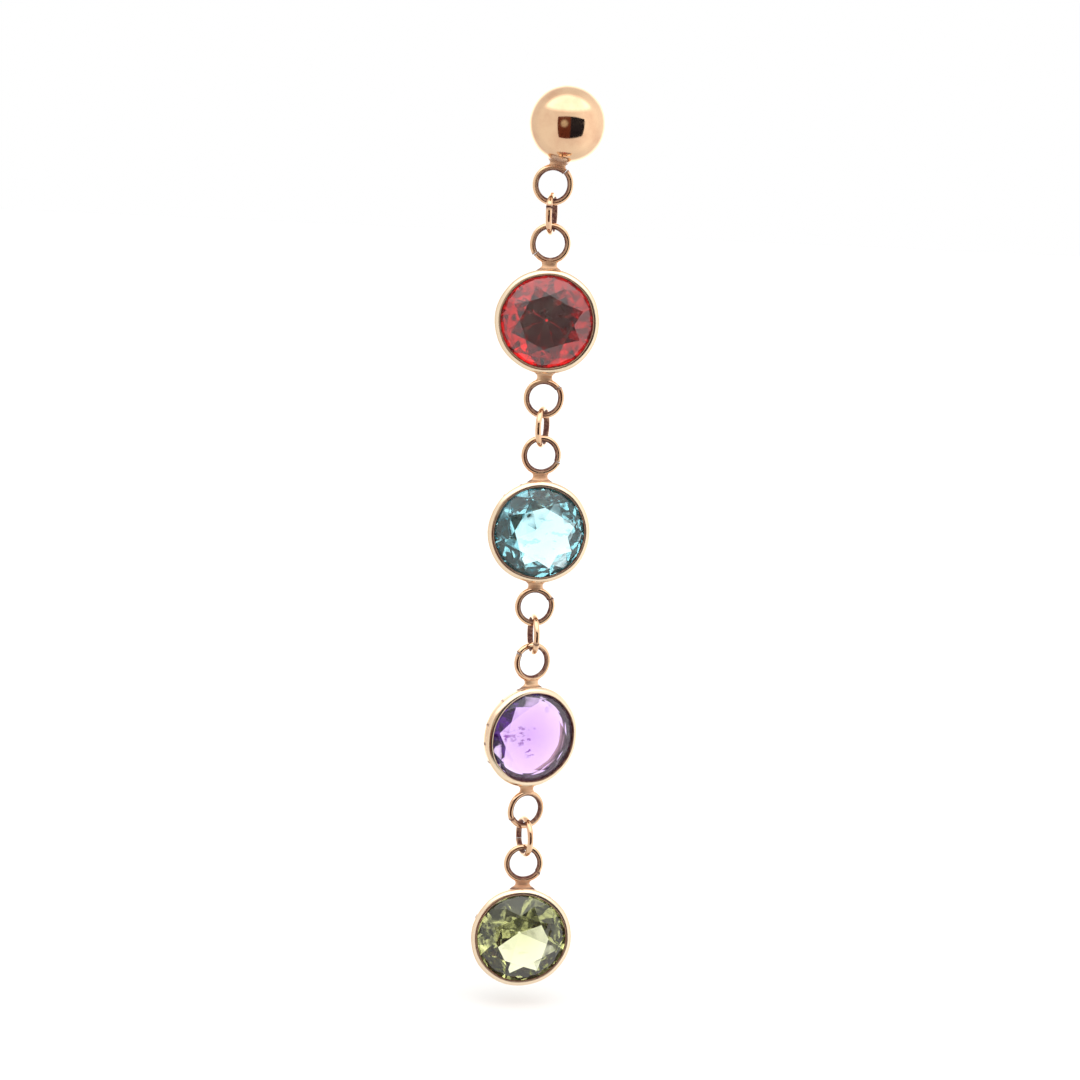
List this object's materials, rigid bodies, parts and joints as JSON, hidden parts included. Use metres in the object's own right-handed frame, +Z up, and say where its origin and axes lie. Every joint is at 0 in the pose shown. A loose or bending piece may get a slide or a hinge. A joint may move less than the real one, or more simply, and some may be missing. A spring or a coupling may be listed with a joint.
{
  "type": "drop earring",
  "caption": "Drop earring with a ball stud and post, a butterfly nut, and a line of round faceted stones in bezel settings that hang under the ball on small rings.",
  "frame": {"origin": "on the post's axis, midway between the back of the ball and the nut's plate, where the post goes through the ear lobe", "axes": "+Z up, along the hanging drop; the stones face -Y and the post points along +Y, away from the viewer; +X is the viewer's right"},
  "size_m": [0.0054, 0.0141, 0.0485],
  "materials": {
    "gold": "polished pale rose-yellow gold with fine wear",
    "garnet": "polished faceted deep red stone",
    "topaz": "polished faceted sky-blue stone",
    "amethyst": "polished faceted purple stone",
    "peridot": "polished faceted yellow-green stone"
  },
  "bodies": {
    "stud": {"ball_stud": "gold", "ear_nut": "gold"},
    "top_link": {"link_1": "gold"},
    "drop": {"garnet_setting": "gold", "garnet_stone": "garnet", "link_2": "gold", "topaz_setting": "gold", "topaz_stone": "topaz", "link_3": "gold", "amethyst_setting": "gold", "amethyst_stone": "amethyst", "link_4": "gold", "peridot_setting": "gold", "peridot_stone": "peridot"}
  },
  "joints": [
    {"name": "drop_swing", "type": "hinge", "parent": "stud", "child": "top_link", "pos_m": [-0.00061, -0.00365, -0.00407], "axis": [1, 0, 0], "range_deg": [-60, 60]},
    {"name": "drop_sway", "type": "hinge", "parent": "top_link", "child": "drop", "pos_m": [-0.00061, -0.00365, -0.00564], "axis": [0, 1, 0], "range_deg": [-60, 60]}
  ]
}
